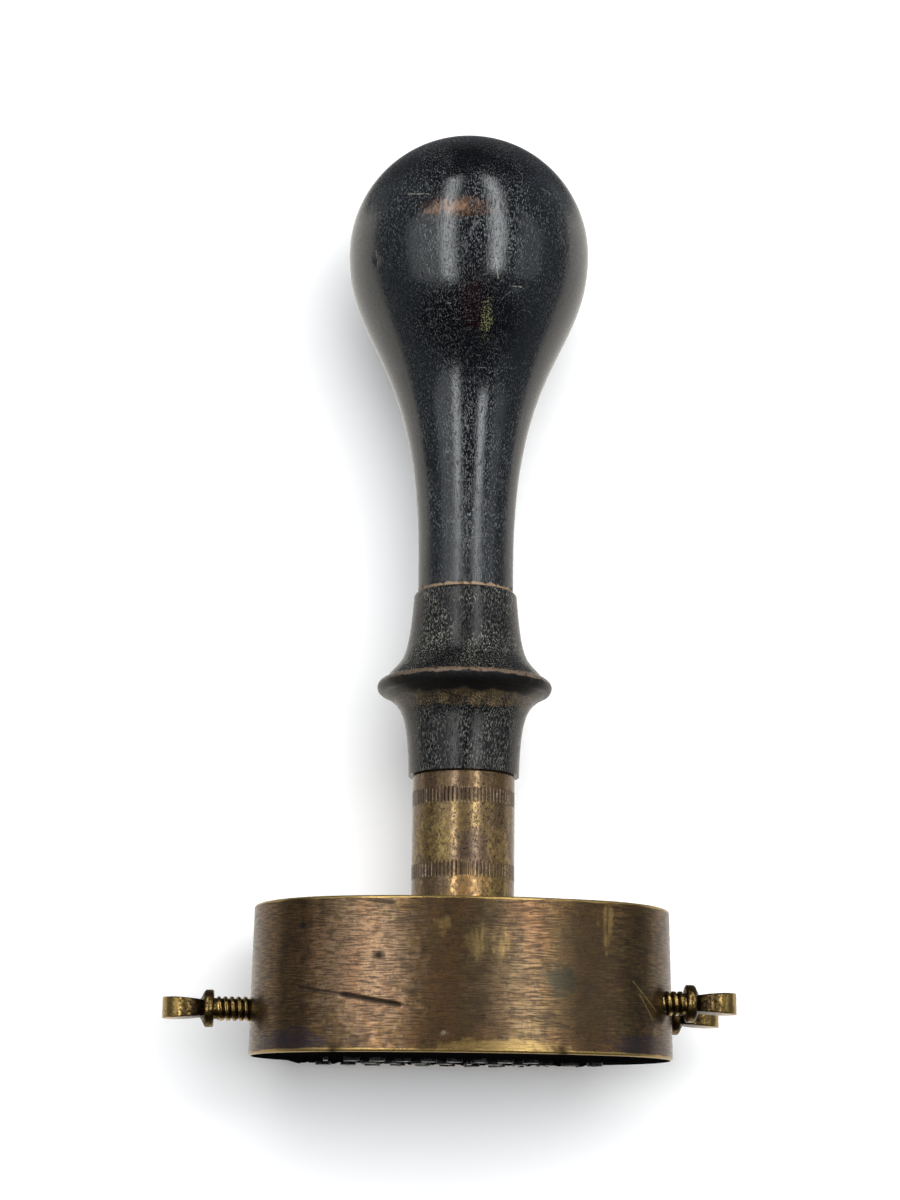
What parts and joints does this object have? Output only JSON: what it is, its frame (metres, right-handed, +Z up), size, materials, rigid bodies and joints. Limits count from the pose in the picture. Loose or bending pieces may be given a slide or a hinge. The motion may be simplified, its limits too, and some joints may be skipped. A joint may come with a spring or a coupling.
{
  "type": "hand stamp",
  "caption": "Oval brass hand stamp that holds lines of movable type, each locked by its own thumbscrew, on a brass post with a turned black wooden bulb handle.",
  "frame": {"origin": "middle of the printing faces, on the handle's axis", "axes": "+Z up the handle's axis, +X along the lines of type towards the side with two screws, -Y the pictured front"},
  "size_m": [0.0902, 0.047, 0.1561],
  "materials": {
    "grip_wood": "worn black polish",
    "collar_wood": "dusty black polish",
    "tang_iron": "bare iron",
    "post_brass": "aged, mottled",
    "head_brass": "brown patina, brushed",
    "screw_brass": "worn, grimy",
    "shoe_brass": "dull",
    "inked_type": "dried black ink"
  },
  "bodies": {
    "stamp": {"head": "head_brass", "post": "post_brass", "tang": "tang_iron", "handle_collar": "collar_wood", "handle_grip": "grip_wood"},
    "front_shoe": {"front_clamp_shoe": "shoe_brass"},
    "front_screw": {"front_thumbscrew": "screw_brass"},
    "front_line": {"front_space_stop": "inked_type", "front_type_1": "inked_type", "front_type_2": "inked_type", "front_type_3": "inked_type", "front_type_4": "inked_type", "front_type_5": "inked_type", "front_type_6": "inked_type", "front_type_7": "inked_type", "front_type_8": "inked_type", "front_type_9": "inked_type", "front_space_screw": "inked_type"},
    "middle_shoe": {"middle_clamp_shoe": "shoe_brass"},
    "middle_screw": {"middle_thumbscrew": "screw_brass"},
    "middle_line": {"middle_space_stop": "inked_type", "middle_type_1": "inked_type", "middle_type_2": "inked_type", "middle_type_3": "inked_type", "middle_type_4": "inked_type", "middle_type_5": "inked_type", "middle_type_6": "inked_type", "middle_type_7": "inked_type", "middle_type_8": "inked_type", "middle_type_9": "inked_type", "middle_type_10": "inked_type", "middle_space_screw": "inked_type"},
    "rear_shoe": {"rear_clamp_shoe": "shoe_brass"},
    "rear_screw": {"rear_thumbscrew": "screw_brass"},
    "rear_line": {"rear_space_stop": "inked_type", "rear_type_1": "inked_type", "rear_type_2": "inked_type", "rear_type_3": "inked_type", "rear_type_4": "inked_type", "rear_type_5": "inked_type", "rear_type_6": "inked_type", "rear_type_7": "inked_type", "rear_type_8": "inked_type", "rear_type_9": "inked_type", "rear_space_screw": "inked_type"}
  },
  "joints": [
    {"name": "front_clamp_slide", "type": "slide", "parent": "stamp", "child": "front_shoe", "axis": [1, 0, 0], "range_m": [0, 0.0055]},
    {"name": "front_screw_turn", "type": "hinge", "parent": "front_shoe", "child": "front_screw", "pos_m": [0.0177, -0.008, 0.0096], "axis": [1, 0, 0], "range_deg": [-45, 1935]},
    {"name": "front_line_drop", "type": "slide", "parent": "stamp", "child": "front_line", "axis": [0, 0, -1], "range_m": [0, 0.021]},
    {"name": "middle_clamp_slide", "type": "slide", "parent": "stamp", "child": "middle_shoe", "axis": [-1, 0, 0], "range_m": [0, 0.0055]},
    {"name": "middle_screw_turn", "type": "hinge", "parent": "middle_shoe", "child": "middle_screw", "pos_m": [-0.0223, 0, 0.0082], "axis": [-1, 0, 0], "range_deg": [-45, 1935]},
    {"name": "middle_line_drop", "type": "slide", "parent": "stamp", "child": "middle_line", "axis": [0, 0, -1], "range_m": [0, 0.021]},
    {"name": "rear_clamp_slide", "type": "slide", "parent": "stamp", "child": "rear_shoe", "axis": [1, 0, 0], "range_m": [0, 0.0055]},
    {"name": "rear_screw_turn", "type": "hinge", "parent": "rear_shoe", "child": "rear_screw", "pos_m": [0.0177, 0.008, 0.0085], "axis": [1, 0, 0], "range_deg": [-45, 1935]},
    {"name": "rear_line_drop", "type": "slide", "parent": "stamp", "child": "rear_line", "axis": [0, 0, -1], "range_m": [0, 0.021]}
  ],
  "couplings": [
    {"joint": "front_screw_turn", "follows": "front_clamp_slide", "rad_per_m": 5984},
    {"joint": "middle_screw_turn", "follows": "middle_clamp_slide", "rad_per_m": 5984},
    {"joint": "rear_screw_turn", "follows": "rear_clamp_slide", "rad_per_m": 5984}
  ]
}
